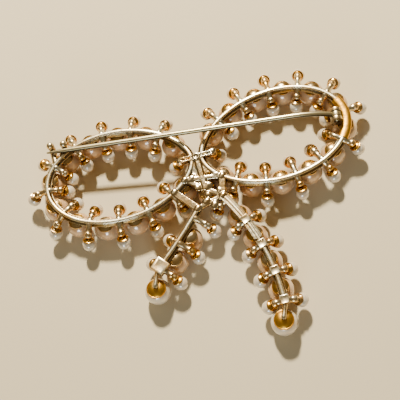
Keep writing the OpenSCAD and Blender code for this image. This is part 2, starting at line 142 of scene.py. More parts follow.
class BroochSizes(bpy.types.PropertyGroup):
    """The sizes of the dressed pieces, most of them the same as in the fixed frame."""
    small_pearl_d: length("Small pearls", "Diameter of the pearls at the arms' ends", 3)
    big_pearl_d: length("Big pearls", "Diameter of the pearls under the rails", 5.5)
    end_pearl_d: length("End pearls", "Diameter of the pearl at each tail's end", 5.6)
    knot_pearl_d: length("Knot pearls", "Diameter of the pearls under the knot", 4.3)
    loop_l: length("Loop length", "From the knot to the loop's outer end", 33)
    loop_h: length("Loop height", "Before the knot end is narrowed", 22.6)
    loop_taper: bpy.props.FloatProperty(
        name="Loop taper", description="How strongly a loop narrows to the knot", default=0.15
    )
    loop_lift: angle("Loop lift", "By how much each loop rises from the knot", 3.8)
    loop_gap: length("Loop gap", "Between the two loops' ends at the knot", 2.2)
    pair_pitch: length("Pair spacing", "Between two pairs of arms", 6.6)
    upper_end_gap: length("Upper end gap", "From the outer pair to the next one above it", 6)
    lower_end_gap: length("Lower end gap", "From the outer pair to the next one below it", 7.1)
    loop_reach: length("Loop reach", "From the rail to a small pearl's centre", 4.05)
    right_rail_drop: length("Rail drop", "How far the right rail sits below its pairs", 0.8)
    web_t: length("Web height", "Height of the rail's web", 0.6)
    rail_t: length("Rail thickness", "Thickness of the rail's back strip", 0.75)
    arm_d: length("Arm thickness", "Thickness of the pegs, and of the arms in the fixed frame", 0.95)
    knob_d: length("Knob size", "Diameter of the knob at an arm's end", 1.35)
    small_pearl_drop: length("Pearl drop", "From the web's underside to a small pearl's centre", 2.35)
    small_cup_d: length("Small cup", "Rim diameter of a small pearl's cup", 2.4)
    cup_tilt: angle("Cup lean", "How far a small pearl's cup leans towards its rail", 33)
    big_cup_d: length("Big cup", "Rim diameter of a big pearl's cup", 3.5)
    end_cup_d: length("End cup", "Rim diameter of an end pearl's cup", 4.1)
    knot_cup_d: length("Knot cup", "Rim diameter of a knot pearl's cup", 3.4)
    cup_t: length("Cup wall", "Wall of every cup", 0.22)
    cup_gap: length("Cup gap", "Between a pearl and its cup", 0.05)
    tail_pitch: length("Tail spacing", "Between two pairs of arms on a tail", 6.45)
    first_pearl_shift: length("First pearl shift", "How far a tail's first pearl is moved on", 0.7)
    pin_d: length("Pin wire", "Diameter of the pin's wire", 1)
    pin_tip_d: length("Pin tip", "Diameter of the pin's tip", 0.3)
    point_l: length("Point length", "Length of the pin's sharpened end", 5)
    neck_rise: angle("Neck rise", "Angle at which the pin's neck leaves the hinge", 28)
    neck_r: length("Neck bend", "Bend radius of the pin's neck", 18)
    eye_d: length("Eye size", "Outer diameter of the pin's eye", 2.3)
    eye_w: length("Eye width", "Width of the eye along the rivet", 1.1)
    rivet_d: length("Rivet size", "Diameter of the rivet", 0.9)


class BroochColours(bpy.types.PropertyGroup):
    """The colours of the finishes."""
    gilt: colour("Gilt", "Warm plating deep in the metal", "#dca23a")
    # Silver shows where the plating has gone thin, and is also painted on high surfaces as a pale
    # reflection
    silver: colour("Silver", "Where the plating is worn pale", "#dccfab")
    # Painted shade: this dark brown is painted into corners and onto surfaces that face down
    painted_shade_colour: colour("Tarnish", "Dark brown film in the corners", "#231706")
    wire: colour("Wire", "Pale plating of the pin", "#d9cda0")
    pearl_cream: colour("Pearl cream", "Body colour of the small and end pearls", "#ddcfb2")
    pearl_rose: colour("Pearl rose", "Body colour of the big and knot pearls", "#d7a873")
    paper: colour("Paper", "Pale floor", "#d3c19a")
    room: colour("Room", "Dim light from all around", "#c9b795")


# Each tail's root is shifted from its loop's last small pearl, and its angles are in degrees
Tail = namedtuple("Tail", (
    "side shift heading turn length pairs reach inner_side skew block_w peg_l peg_turn"
))
TAILS = {
    LEFT: Tail(
        side=LEFT, shift=Vector((2.6, -1.3)) * MM, heading=228, turn=-8, length=15 * MM, pairs=3,
        reach=3.8 * MM, inner_side=1, skew=1.1 * MM, block_w=3.1 * MM, peg_l=4.5 * MM, peg_turn=23,
    ),
    RIGHT: Tail(
        side=RIGHT, shift=Vector((-1.7, 0.1)) * MM, heading=300, turn=-32, length=26.9 * MM, pairs=5,
        reach=3.45 * MM, inner_side=-1, skew=0, block_w=1.9 * MM, peg_l=3.8 * MM, peg_turn=-17,
    ),
}

# An arm's root on its rail and its pearl's place
Arm = namedtuple("Arm", "root pearl")
Levels = namedtuple("Levels", "web back arm small_pearl knot_pearl")


def sizes():
    return bpy.context.scene.brooch_sizes


def colours():
    return bpy.context.scene.brooch_colours


def turned(place, degrees):
    """A place in the plane turned about the origin."""
    return Matrix.Rotation(math.radians(degrees), 2) @ Vector(place)


@lru_cache
def loop_table():
    """Points round one loop from the knot and back, and the run along the loop at each."""
    s = sizes()
    points = []
    for i in range(LOOP_STEPS + 1):
        t = 2 * math.pi * i / LOOP_STEPS
        narrowing = abs(math.sin(t / 2)) ** s.loop_taper
        y = s.loop_h / 2 * math.sin(t) * narrowing
        points.append(Vector((s.loop_l * (1 - math.cos(t)) / 2, y)))
    runs = [0.0]
    for a, b in zip(points, points[1:]):
        runs.append(runs[-1] + (b - a).length)
    return points, runs


def stepped(start, end, steps):
    """Runs from start to end in even steps, both ends included."""
    return [start + (end - start) * i / steps for i in range(steps + 1)]


def loop_run():
    """The whole run round a loop."""
    return loop_table()[1][-1]


def outer_run():
    """The run to a loop's outer end."""
    return loop_run() / 2


def loop_at(run):
    points, runs = loop_table()
    run = min(max(run, 0.0), runs[-1])
    i = min(max(bisect.bisect_right(runs, run), 1), LOOP_STEPS)
    return points[i - 1].lerp(points[i], (run - runs[i - 1]) / (runs[i] - runs[i - 1]))


def knot_place(side, run, out=0.0):
    """A place beside a loop's rail, in a frame whose origin is the knot's middle."""
    s = sizes()
    ahead = loop_at(run + 0.1 * MM) - loop_at(run - 0.1 * MM)
    heading = math.degrees(math.atan2(ahead.y, ahead.x))
    p = turned(loop_at(run) + turned((0, out), heading), math.degrees(s.loop_lift))
    return Vector((side * (s.loop_gap / 2 + p.x), p.y))


def pair_runs():
    """Where the pairs of arms stand: one at the outer end, and as many above it as below."""
    s = sizes()
    middle = outer_run()
    before = [middle - s.upper_end_gap - k * s.pair_pitch for k in reversed(range(PAIRS_EACH_WAY))]
    after = [middle + s.lower_end_gap + k * s.pair_pitch for k in range(PAIRS_EACH_WAY)]
    return before + [middle] + after


def pearl_runs():
    """Where the big pearls hang: between the pairs, and one beyond each of the last."""
    half = sizes().pair_pitch / 2
    runs = pair_runs()
    between = [(a + b) / 2 for a, b in zip(runs, runs[1:])]
    return [runs[0] - half] + between + [runs[-1] + half]


def tail_root(tail):
    """The root of a tail, in the frame whose origin is the knot's middle."""
    return knot_place(tail.side, pair_runs()[-1], sizes().loop_reach) + tail.shift


def tail_heading(tail, run):
    return tail.heading + tail.turn * run / tail.length


def tail_knot_place(tail, run, left=0.0):
    """A place beside a tail's rail, in the frame whose origin is the knot's middle."""
    radius = tail.length / math.radians(tail.turn)
    start = math.radians(tail.heading)
    end = math.radians(tail_heading(tail, run))
    arc = radius * Vector((math.sin(end) - math.sin(start), math.cos(start) - math.cos(end)))
    return tail_root(tail) + arc + turned((0, left), tail_heading(tail, run))


def tail_end_place(tail):
    return tail_knot_place(tail, tail.length) + turned(
        (tail.peg_l, 0), tail_heading(tail, tail.length) + tail.peg_turn
    )


@lru_cache
def middle_y():
    """How far the knot's middle lies above the middle of the whole brooch."""
    s = sizes()
    outs = (s.loop_reach, -s.loop_reach)
    top = max(knot_place(RIGHT, run, out).y for run in pair_runs() for out in outs)
    top += s.small_pearl_d / 2
    bottom = tail_end_place(TAILS[RIGHT]).y - s.end_pearl_d / 2
    return -(top + bottom) / 2


def in_brooch(place):
    """A place given from the knot's middle, in the brooch's own frame."""
    return Vector((place.x, place.y + middle_y()))


def loop_place(side, run, out=0.0):
    return in_brooch(knot_place(side, run, out))


def rail_place(side, run, out=0.0):
    """A place beside a loop's rail, which sits lower than its pairs on the right."""
    drop = sizes().right_rail_drop if side == RIGHT else 0
    return loop_place(side, run, out) - Vector((0, drop))


def tail_place(tail, run, left=0.0):
    return in_brooch(tail_knot_place(tail, run, left))


def tail_pair_run(tail, i):
    return tail.length - (tail.pairs - 1 - i) * sizes().tail_pitch


def tail_arms(tail):
    arms = []
    for i in range(tail.pairs):
        run = tail_pair_run(tail, i)
        for side in ([tail.inner_side] if i == 0 else [1, -1]):
            pearl = tail_place(tail, run, side * tail.reach + tail.skew)
            arms.append(Arm(tail_place(tail, run), pearl))
    return arms


def tail_pearls(tail):
    s = sizes()
    shifts = [s.first_pearl_shift] + [0] * (tail.pairs - 2)
    runs = [tail_pair_run(tail, i) + s.tail_pitch / 2 + shift for i, shift in enumerate(shifts)]
    return [tail_place(tail, run, tail.skew) for run in runs]


def loop_arms(side):
    reach = sizes().loop_reach
    return [Arm(rail_place(side, run), loop_place(side, run, out))
            for run in pair_runs() for out in (reach, -reach)]


def levels():
    """The levels above the surface, from the pearls up."""
    s = sizes()
    web = s.big_pearl_d + s.cup_gap + CUP_SEAT
    return Levels(
        web=web, back=web + s.web_t + s.rail_t, arm=web + ARM_LIFT + s.arm_d / 2,
        small_pearl=web - s.small_pearl_drop,
        knot_pearl=web - s.cup_gap - CUP_SEAT - s.knot_pearl_d / 2,
    )


def tie_place():
    return in_brooch(TIE_PLACE)


def tie_arm(side):
    """The arm that leaves the tie on one side of the knot."""
    return Arm(tie_place(), tie_place() + Vector((side * TIE_REACH, 0)))


def knot_pearl_places():
    return [in_brooch(place) for place in KNOT_PEARL_PLACES]


def hinge_place():
    return rail_place(RIGHT, outer_run() + HINGE_RUN, -HINGE_INSET)


def hinge_level():
    """The height of the rivet's axis above the surface."""
    return levels().back + sizes().eye_d / 2 - EYE_SINK


def to_catch():
    """From the hinge to where the pin crosses the left rail."""
    return rail_place(LEFT, outer_run() - CATCH_RUN) - hinge_place()


def pin_matrix():
    """The pin's upright plane: X runs from the rivet towards the tip, Y along the rivet and Z up."""
    hinge = hinge_place()
    ahead = to_catch()
    turn = Matrix.Rotation(math.atan2(ahead.y, ahead.x), 4, "Z")
    return Matrix.Translation((hinge.x, hinge.y, hinge_level())) @ turn


def pin_bend():
    """The centre of the neck's bend, and the angle by which the stem falls towards the catch."""
    s = sizes()
    catch_z = levels().back + s.pin_d / 2 + CROSSING_GAP - hinge_level()
    bend_x = s.neck_r * math.sin(s.neck_rise)
    bend_z = -s.neck_r * math.cos(s.neck_rise)
    across = Vector((to_catch().length - bend_x, catch_z - bend_z))
    fall = math.asin(s.neck_r / across.length) - math.atan2(across.y, across.x)
    return bend_x, bend_z, fall


def pin_level(run):
    """The height of the pin's axis above the hinge, where the stem is straight."""
    bend_x, bend_z, fall = pin_bend()
    start = bend_x + sizes().neck_r * math.sin(fall)
    return bend_z + sizes().neck_r * math.cos(fall) - (run - start) * math.tan(fall)


# Helpers that work the way hands do in the viewport


def deselect():
    bpy.ops.object.select_all(action="DESELECT")


def active():
    return bpy.context.active_object


def added(primitive, **settings):
    """A new object from one of the viewport's primitives, with nothing else selected."""
    deselect()
    primitive(**settings)
    return active()


@contextmanager
def edit_mode(obj):
    """Edit mode with all of the object selected, and object mode again afterwards."""
    select([obj])
    bpy.ops.object.mode_set(mode="EDIT")
    bpy.ops.mesh.select_all(action="SELECT")
    yield
    bpy.ops.object.mode_set(mode="OBJECT")


def select(objects):
    deselect()
    for obj in objects:
        obj.select_set(True)
    bpy.context.view_layer.objects.active = objects[0]


def joined(objects, name):
    """One or more objects as one, which gets the name."""
    select(objects)
    if len(objects) > 1:
        bpy.ops.object.join()
    obj = active()
    obj.name = name
    obj.data.name = name
    return obj


def modified(obj, kind, **settings):
    """The object with a modifier added and applied."""
    select([obj])
    bpy.ops.object.modifier_add(type=kind)
    modifier = obj.modifiers[-1]
    for key, value in settings.items():
        setattr(modifier, key, value)
    bpy.ops.object.modifier_apply(modifier=modifier.name)
    return obj


def bevelled(obj, width, segments=3):
    return modified(
        obj, "BEVEL", width=width, segments=segments, limit_method="ANGLE", angle_limit=BEVEL_ANGLE
    )


def settled(obj, matrix=None):
    """The object at the origin, with its place in its mesh."""
    select([obj])
    bpy.ops.object.transform_apply(location=True, rotation=True, scale=True)
    if matrix is not None:
        obj.data.transform(matrix)
    return obj


def faced_out(obj):
    """Doubles merged and every face turned outwards."""
    with edit_mode(obj):
        bpy.ops.mesh.remove_doubles(threshold=0.002 * MM)
        bpy.ops.mesh.normals_make_consistent(inside=False)
    return obj


def copies(template, matrices, name):
    """Copies of a template, each with its own mesh, joined; the template itself is removed."""
    made = []
    for matrix in matrices:
        obj = template.copy()
        obj.data = template.data.copy()
        obj.data.transform(matrix)
        bpy.context.collection.objects.link(obj)
        made.append(obj)
    bpy.data.objects.remove(template)
    return joined(made, name)


def spanning(start, end, template_l):
    """The matrix that lays a template made along X from start to end, with its Z kept upright."""
    along = end - start
    x = along.normalized()
    y = Vector((0, 0, 1)).cross(x).normalized()
    z = x.cross(y)
    turn = Matrix((x, y, z)).transposed().to_4x4()
    stretch = Matrix.Diagonal((along.length / template_l, 1, 1, 1))
    return Matrix.Translation(start) @ turn @ stretch


def at(place, z):
    return Vector((place.x, place.y, z))


def swept(points, profile, closed):
    """A profile, as places across and up, carried along a path and made a mesh."""
    shape = new_curve([(x, y, 0) for x, y in profile], True)
    shape.data.dimensions = "2D"
    shape.data.fill_mode = "NONE"
    path = new_curve(points, closed)
    path.data.bevel_mode = "OBJECT"
    path.data.bevel_object = shape
    path.data.use_fill_caps = not closed
    obj = meshed(path)
    bpy.data.objects.remove(shape)
    return obj


def new_curve(points, closed, radii=None):
    """A curve of straight pieces through the points, kept upright, with a radius at each point."""
    obj = added(bpy.ops.curve.primitive_bezier_curve_add)
    curve = obj.data
    curve.dimensions = "3D"
    curve.twist_mode = "Z_UP"
    curve.splines.clear()
    spline = curve.splines.new("POLY")
    spline.points.add(len(points) - 1)
    for i, place in enumerate(points):
        spline.points[i].co = (*place, 1)
        spline.points[i].radius = radii[i] if radii else 1
    spline.use_cyclic_u = closed
    return obj


def meshed(curve):
    """A curve made a mesh, with its faces turned outwards."""
    select([curve])
    bpy.ops.object.convert(target="MESH")
    return faced_out(active())


def round_wire(points, radii):
    """A round wire along a path, with its own radius at each point."""
    path = new_curve(points, False, [r / radii[0] for r in radii])
    path.data.bevel_depth = radii[0]
    path.data.bevel_resolution = 5
    path.data.use_fill_caps = True
    return meshed(path)


def turned_form(stations, sides):
    """A form drawn out along X in edit mode, ring by ring; each station is its place and radius."""
    x, r = stations[0]
    obj = settled(added(
        bpy.ops.mesh.primitive_circle_add, vertices=sides, radius=r, fill_type="NGON",
        location=(x, 0, 0), rotation=(0, math.radians(90), 0),
    ))
    with edit_mode(obj):
        for next_x, next_r in stations[1:]:
            bpy.ops.mesh.extrude_region_move(TRANSFORM_OT_translate={"value": (next_x - x, 0, 0)})
            bpy.ops.transform.resize(
                value=(1, next_r / r, next_r / r), center_override=(next_x, 0, 0)
            )
            x, r = next_x, next_r
    return faced_out(obj)


def ball(radius, cuts):
    """A ball of even quads, made from a cube."""
    obj = added(bpy.ops.mesh.primitive_cube_add, size=2 * radius)
    with edit_mode(obj):
        bpy.ops.mesh.subdivide(number_cuts=cuts)
    for vertex in obj.data.vertices:
        vertex.co = vertex.co.normalized() * radius
    return obj


def cup(pearl_d, rim_d):
    """A spun cup round the back of a pearl, with a rolled rim, centred on the pearl."""
    s = sizes()
    inner_r = pearl_d / 2 + s.cup_gap
    outer_r = inner_r + s.cup_t
    rim_z = math.sqrt(outer_r ** 2 - (rim_d / 2) ** 2)
    shell = added(bpy.ops.mesh.primitive_uv_sphere_add, segments=28, ring_count=28, radius=outer_r)
    with edit_mode(shell):
        bpy.ops.mesh.bisect(plane_co=(0, 0, rim_z), plane_no=(0, 0, 1), clear_inner=True)
    modified(shell, "SOLIDIFY", thickness=s.cup_t, offset=-1)
    rim = settled(added(
        bpy.ops.mesh.primitive_torus_add, major_radius=rim_d / 2 - RIM_ROLL_R * 0.5,
        minor_radius=RIM_ROLL_R, major_segments=28, minor_segments=8,
        location=(0, 0, rim_z - RIM_ROLL_R * 0.1),
    ))
    return joined([shell, rim], "cup")


def finished(obj, material, body, slot, *nodes):
    """The finished piece: smooth, painted, riding on its body and standing for its nodes."""
    select([obj])
    bpy.ops.object.shade_smooth_by_angle(angle=SMOOTH_ANGLE)
    obj.data.materials.append(material)
    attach(obj, body)
    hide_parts(*nodes)
    return obj


def cast_metal(obj, kind="painted_pale_top"):
    """A finished piece of the soldered metal, which is one solid in the fixed frame."""
    return finished(obj, gilt_white_metal(kind), FIXED_BODY, "frame_metal", "frame")


# Materials


def set_inputs(node, inputs):
    """A node's inputs, each given a value, or linked to a socket or to a node's first output."""
    for key, value in inputs.items():
        if isinstance(value, bpy.types.Node):
            value = next(socket for socket in value.outputs if socket.enabled)
        if isinstance(value, bpy.types.NodeSocket):
            node.id_data.links.new(value, node.inputs[key])
        else:
            node.inputs[key].default_value = value


def add_node(tree, kind, inputs=None, **settings):
    """One shader node of a kind, with its settings and its inputs."""
    node = tree.nodes.new("ShaderNode" + kind)
    for key, value in settings.items():
        setattr(node, key, value)
    set_inputs(node, inputs or {})
    return node


def new_material(name):
    """A material, what adds a node to it, its shader, and the object's coordinates."""
    material = bpy.data.materials.new(name)
    material.use_nodes = True
    material.node_tree.nodes.clear()
    node = partial(add_node, material.node_tree)
    shader = node("BsdfPrincipled")
    node("OutputMaterial", {"Surface": shader})
    return material, node, shader, node("TexCoord").outputs["Object"]


def underside(node, low, high, most):
    """How far a surface faces down, which sets how much painted brown shade it gets."""
    facing = node("TexCoord").outputs["Normal"]
    upright = node("SeparateXYZ", {"Vector": facing}).outputs["Z"]
    return node("MapRange", {
        "Value": upright, "From Min": low, "From Max": high, "To Min": most, "To Max": 0.0,
    })


# How far the painted pale reflection reaches at the top, the least and most roughness, and the waves'
# depth in mm
METAL_KINDS = {
    "painted_pale_top": (0.55, 0.18, 0.42, 0.05),
    "soldered": (0.4, 0.1, 0.26, 0.12),
    "deep": (-0.6, 0.28, 0.4, 0.1),
    "cupped": (0.55, 0.14, 0.32, 0.13),
}


@lru_cache
def gilt_white_metal(kind):
    """Cast white metal with thin warm plating, polished by hand.

    Bright, slightly wavy reflections, paler in patches where the plating has gone thin and painted
    paler towards the top as a reflection, with painted brown shade in corners and on undersides.
    """
    c = colours()
    pale_top_reach, least_rough, most_rough, wave = METAL_KINDS[kind]
    material, node, shader, place = new_material("gilt_white_metal_" + kind)
    # Worn and warm patches are about 3 mm across
    patches = node("TexNoise", {"Vector": place, "Scale": 330.0, "Detail": 3.0})
    # Painted reflection: higher surfaces are painted paler, so the backs of the rails and bars look
    # pale and the cups below them stay gilt
    height = node("SeparateXYZ", {"Vector": place}).outputs["Z"]
    painted_pale_top = node("MapRange", {
        "Value": height, "From Min": 4.9 * MM, "From Max": 6.6 * MM,
        "To Min": min(pale_top_reach, -0.25), "To Max": pale_top_reach,
    })
    patchy = node("MapRange", {
        "Value": patches, "From Min": 0.35, "From Max": 0.65, "To Min": -0.1, "To Max": 0.6,
    })
    # Bare patches of metal and the painted pale reflection together set how much silver shows
    worn_and_reflecting = node("Math", {0: painted_pale_top, 1: patchy}, operation="ADD", use_clamp=True)
    plating = node("Mix", {"Factor": worn_and_reflecting, "A": c.gilt, "B": c.silver}, data_type="RGBA")
    # Painted shade: surfaces closed in by other metal within about half a millimetre are darkened
    # brown
    corners = node("AmbientOcclusion", {"Distance": 0.45 * MM}, samples=8).outputs["AO"]
    corner_shade = node("MapRange", {
        "Value": corners, "From Min": 0.25, "From Max": 0.8, "To Min": 0.9, "To Max": 0.0,
    })
    # Painted shade also darkens the surfaces that face down
    painted_shade = node("Math", {0: corner_shade, 1: underside(node, -0.2, 0.3, 0.7)}, operation="MAXIMUM")
    shade = node("Mix", {"Factor": painted_shade, "A": plating, "B": c.painted_shade_colour}, data_type="RGBA")
    # Casting skin, drawn as coarse as 0.4 mm so that it shows
    skin = node("TexNoise", {"Vector": place, "Scale": 2600.0, "Detail": 2.0})
    polish = node("MapRange", {"Value": skin, "To Min": least_rough, "To Max": most_rough})
    # Hand polishing leaves waves a little under a millimetre long
    waves = node("TexNoise", {"Vector": place, "Scale": 1100.0, "Detail": 2.0})
    relief = node("Bump", {"Strength": 0.5, "Distance": wave * MM, "Height": waves})
    set_inputs(shader, {
        "Base Color": shade, "Metallic": 1.0, "Roughness": polish, "Normal": relief,
    })
    return material


@lru_cache
def plated_spring_wire():
    """Drawn spring wire with pale plating.

    It is smoother than the casting, with faint scratches round it that spread its long highlight, and
    painted brown shade on its underside.
    """
    c = colours()
    material, node, shader, place = new_material("plated_spring_wire")
    # The marks are about 4 mm long across the wire and 0.8 mm apart along it
    stretched = node("Mapping", {"Vector": place, "Scale": (5.0, 1.0, 1.0)})
    scratches = node("TexNoise", {"Vector": stretched, "Scale": 260.0, "Detail": 2.0})
    thin = node("MapRange", {"Value": scratches, "To Max": 0.35})
    tone = node("Mix", {"Factor": thin, "A": c.wire, "B": c.gilt}, data_type="RGBA")
    # Painted shade: the wire is darkened brown where it faces down
    painted_shade = underside(node, 0.5, 0.85, 0.95)
    shade = node("Mix", {"Factor": painted_shade, "A": tone, "B": c.painted_shade_colour}, data_type="RGBA")
    polish = node("MapRange", {"Value": scratches, "To Min": 0.3, "To Max": 0.36})
    relief = node("Bump", {"Strength": 0.02, "Distance": 0.02 * MM, "Height": scratches})
    set_inputs(shader, {
        "Base Color": shade, "Metallic": 1.0, "Roughness": polish, "Normal": relief,
    })
    return material


@lru_cache
def pearl_lacquer(tint):
    """Resin beads dipped in pearl lacquer, the small ones whiter and the big ones a peach tint.

    A soft milky body under a clear gloss, with cloudy tints of a few millimetres.
    """
    c = colours()
    body, cloud = (c.pearl_cream, c.pearl_rose) if tint == "white" else (c.pearl_rose, c.pearl_cream)
    material, node, shader, place = new_material("pearl_lacquer_" + tint)
    clouds = node("TexNoise", {"Vector": place, "Scale": 420.0, "Detail": 3.0})
    cast = node("MapRange", {"Value": clouds, "From Min": 0.4, "From Max": 0.75, "To Max": 0.5})
    shade = node("Mix", {"Factor": cast, "A": body, "B": cloud}, data_type="RGBA")
    # Dip marks of about half a millimetre
    dips = node("TexNoise", {"Vector": place, "Scale": 1800.0, "Detail": 1.0})
    relief = node("Bump", {"Strength": 0.12, "Distance": 0.02 * MM, "Height": dips})
    lustre = node("MapRange", {"Value": dips, "To Min": 0.2, "To Max": 0.3})
    set_inputs(shader, {
        "Base Color": shade, "Roughness": lustre, "Normal": relief, "IOR": 1.53,
        "Specular IOR Level": 0.6, "Metallic": 0.1, "Coat Weight": 1.0, "Coat Roughness": 0.1,
        "Coat IOR": 1.6, "Subsurface Weight": 0.15, "Subsurface Scale": 0.8 * MM,
        "Subsurface Radius": (1.0, 0.85, 0.65),
    })
    return material


@lru_cache
def studio_paper():
    """Matt studio paper with a fine tooth, drawn as coarse as 0.7 mm so that it shows."""
    material, node, shader, place = new_material("studio_paper")
    tooth = node("TexNoise", {"Vector": place, "Scale": 1500.0, "Detail": 2.0})
    relief = node("Bump", {"Strength": 0.08, "Distance": 0.05 * MM, "Height": tooth})
    set_inputs(shader, {"Base Color": colours().paper, "Roughness": 0.85, "Normal": relief})
    return material


# The right half of each profile in mm, across and up from the middle of its underside
RAIL_SIDE = [
    (0.30, 0.02), (0.72, 0.05), (0.84, 0.16), (0.88, 0.36), (0.84, 0.50), (0.74, 0.54), (0.62, 0.46),
    (0.36, 0.36), (0.26, 0.46), (0.26, 0.82), (0.38, 0.92), (0.44, 1.05), (0.42, 1.20), (0.32, 1.30),
    (0.14, 1.35),
]
TAIL_PLATE_SIDE = [
    (0.85, 0), (0.95, 0.1), (0.95, 0.34), (0.86, 0.44), (0.7, 0.4), (0.6, 0.22), (0.1, 0.2),
]
STRAP_SIDE = [
    (0.98, 0), (1.1, 0.12), (1.12, 0.4), (1.04, 0.62), (0.86, 0.8), (0.56, 0.93), (0.2, 0.99),
]

# An arm's rings in mm, each place along it and its radius, and where its knob's middle is
ARM_STATIONS = [
    (-0.20, 0.60), (0.30, 0.80), (0.70, 0.78), (1.40, 0.68), (2.00, 0.66), (2.50, 0.74), (2.80, 0.90),
    (3.02, 0.78), (3.30, 0.80), (3.75, 0.88), (4.05, 0.80), (4.30, 0.60), (4.42, 0.28),
]
ARM_KNOB_X = 3.75


def mirrored(side):
    """A whole profile in metres from its right half in millimetres."""
    right = [(x * MM, y * MM) for x, y in side]
    return right + [(-x, y) for x, y in reversed(right)]


def lean(root, pearl):
    """The matrix that sets a cup on a small pearl and leans it towards the arm's root."""
    back = root - pearl
    turn = Matrix.Rotation(math.atan2(back.y, back.x), 4, "Z")
    tilt = Matrix.Rotation(sizes().cup_tilt, 4, "Y")
    return Matrix.Translation(at(pearl, levels().small_pearl)) @ turn @ tilt


def arm_copies(name, arms):
    """Arms from the rails down to the knobs on the small pearls' cups."""
    s = sizes()
    knob = Vector((0, 0, (s.small_pearl_d + s.knob_d) / 2 + 0.1 * MM))
    template = turned_form([(x * MM, r * MM) for x, r in ARM_STATIONS], 16)
    matrices = [
        spanning(at(root, levels().arm), lean(root, pearl) @ knob, ARM_KNOB_X * MM)
        for root, pearl in arms
    ]
    return copies(template, matrices, name)


def rail_path(place, rail, runs, z):
    """Places on one height along a rail, which is a loop's side or a tail."""
    return [at(place(rail, run), z) for run in runs]


def placed(template, places, z, name):
    """Upright copies of a template at places on one level."""
    return copies(template, [Matrix.Translation(at(place, z)) for place in places], name)


def lacquered(node, places, z, pearl_d, cuts, tint):
    """The finished pearls that stand for one node."""
    made = placed(ball(pearl_d / 2, cuts), places, z, node + "_lacquered")
    return finished(made, pearl_lacquer(tint), FIXED_BODY, "pearl", node)


def box(size, place, turn=0.0):
    """A block of the given size with its place in its mesh."""
    obj = added(bpy.ops.mesh.primitive_cube_add, size=1, location=place, rotation=(0, 0, turn))
    obj.scale = size
    return settled(obj)


def bar(start, end, width, low, high):
    """A knot bar with rounded edges, from one place to another."""
    along = end - start
    place = at((start + end) / 2, (low + high) / 2)
    obj = box((along.length, width, high - low), place, math.atan2(along.y, along.x))
    return bevelled(obj, 0.22 * MM)


def plate(corners, low, high):
    """A flat plate with rounded edges over four corners, given in turn, in millimetres."""
    obj = added(bpy.ops.mesh.primitive_plane_add, size=1)
    # A new plane's corners run in two rows
    for i, corner in zip((0, 1, 3, 2), corners):
        obj.data.vertices[i].co = at(Vector(corner) * MM, low)
    with edit_mode(obj):
        bpy.ops.mesh.extrude_region_move(TRANSFORM_OT_translate={"value": (0, 0, high - low)})
    return bevelled(faced_out(obj), 0.15 * MM)


def blob(place, z, radius, flat, long, turn):
    """A lump of solder, drawn out one way by the heat."""
    obj = ball(radius, 5)
    shape = Matrix.Rotation(math.radians(turn), 4, "Z") @ Matrix.Diagonal((long, 1, flat, 1))
    obj.data.transform(Matrix.Translation(at(place, z)) @ shape)
    return obj


def block(tail, run, low, high):
    """A square block on a tail, bevelled, with a raised middle like a cut stone's table."""
    width = tail.block_w
    place = at(tail_place(tail, run), (low + high) / 2)
    obj = box((width, width, high - low), place, math.radians(tail_heading(tail, run)))
    bevelled(obj, 0.18 * MM, 2)
    mesh = bmesh.new()
    mesh.from_mesh(obj.data)
    mesh.faces.ensure_lookup_table()
    top = max(mesh.faces, key=lambda face: face.calc_center_median().z)
    bmesh.ops.inset_region(mesh, faces=[top], thickness=width * 0.2, depth=-0.12 * MM)
    mesh.to_mesh(obj.data)
    mesh.free()
    return obj


class BROOCH_OT_stage(bpy.types.Operator):
    """Lay the pale floor, hang the soft lights and set up the camera"""
    bl_idname = "brooch.stage"
    bl_label = "Floor, lights and camera"

    def execute(self, context):
        floor = added(bpy.ops.mesh.primitive_plane_add, size=4)
        floor.name = "floor"
        floor.data.materials.append(studio_paper())

        aim = Vector((0, 0, 4 * MM))
        # Each light: its name, place in metres, width in metres, power in watts and tint
        lights = [
            ("key", (0.04, 0.36, 0.38), 0.045, 8.2, (1.0, 0.94, 0.83)),
            ("sky", (-0.14, -0.46, 0.14), 0.16, 1.5, (0.74, 0.86, 1.0)),
            ("top", (-0.16, 0.16, 0.5), 0.18, 0.12, (1.0, 0.95, 0.85)),
        ]
        for name, place, size, power, tint in lights:
            light = added(bpy.ops.object.light_add, type="AREA", location=place)
            light.name = name
            light.rotation_euler = (aim - Vector(place)).to_track_quat("-Z", "Y").to_euler()
            light.data.size = size
            light.data.energy = power
            light.data.color = tint

        world = bpy.data.worlds.new("studio")
        context.scene.world = world
        world.use_nodes = True
        background = world.node_tree.nodes["Background"]
        set_inputs(background, {"Color": colours().room, "Strength": 0.27})

        camera = added(bpy.ops.object.camera_add)
        camera.name = "camera"
        turn = Matrix(CAMERA_AXES).transposed().to_4x4()
        camera.matrix_world = Matrix.Translation(CAMERA_PLACE) @ turn
        camera.data.lens = CAMERA_LENS
        camera.data.clip_start = 5 * MM
        context.scene.camera = camera
        return {"FINISHED"}


class BROOCH_OT_rails(bpy.types.Operator):
    """Draw the grooved rails of the loops and of the tails"""
    bl_idname = "brooch.rails"
    bl_label = "Rails"

    def execute(self, context):
        web = levels().web
        profile = mirrored(RAIL_SIDE)
        rails = []
        for side in SIDES:
            # A loop's last step is its first again
            runs = stepped(0, loop_run(), RAIL_STEPS)[:-1]
            rails.append(swept(rail_path(rail_place, side, runs, web), profile, True))
            tail = TAILS[side]
            runs = stepped(0, tail.length, TAIL_STEPS)
            rails.append(swept(rail_path(tail_place, tail, runs, web), profile, False))
        cast_metal(joined(rails, "rails"))
        return {"FINISHED"}


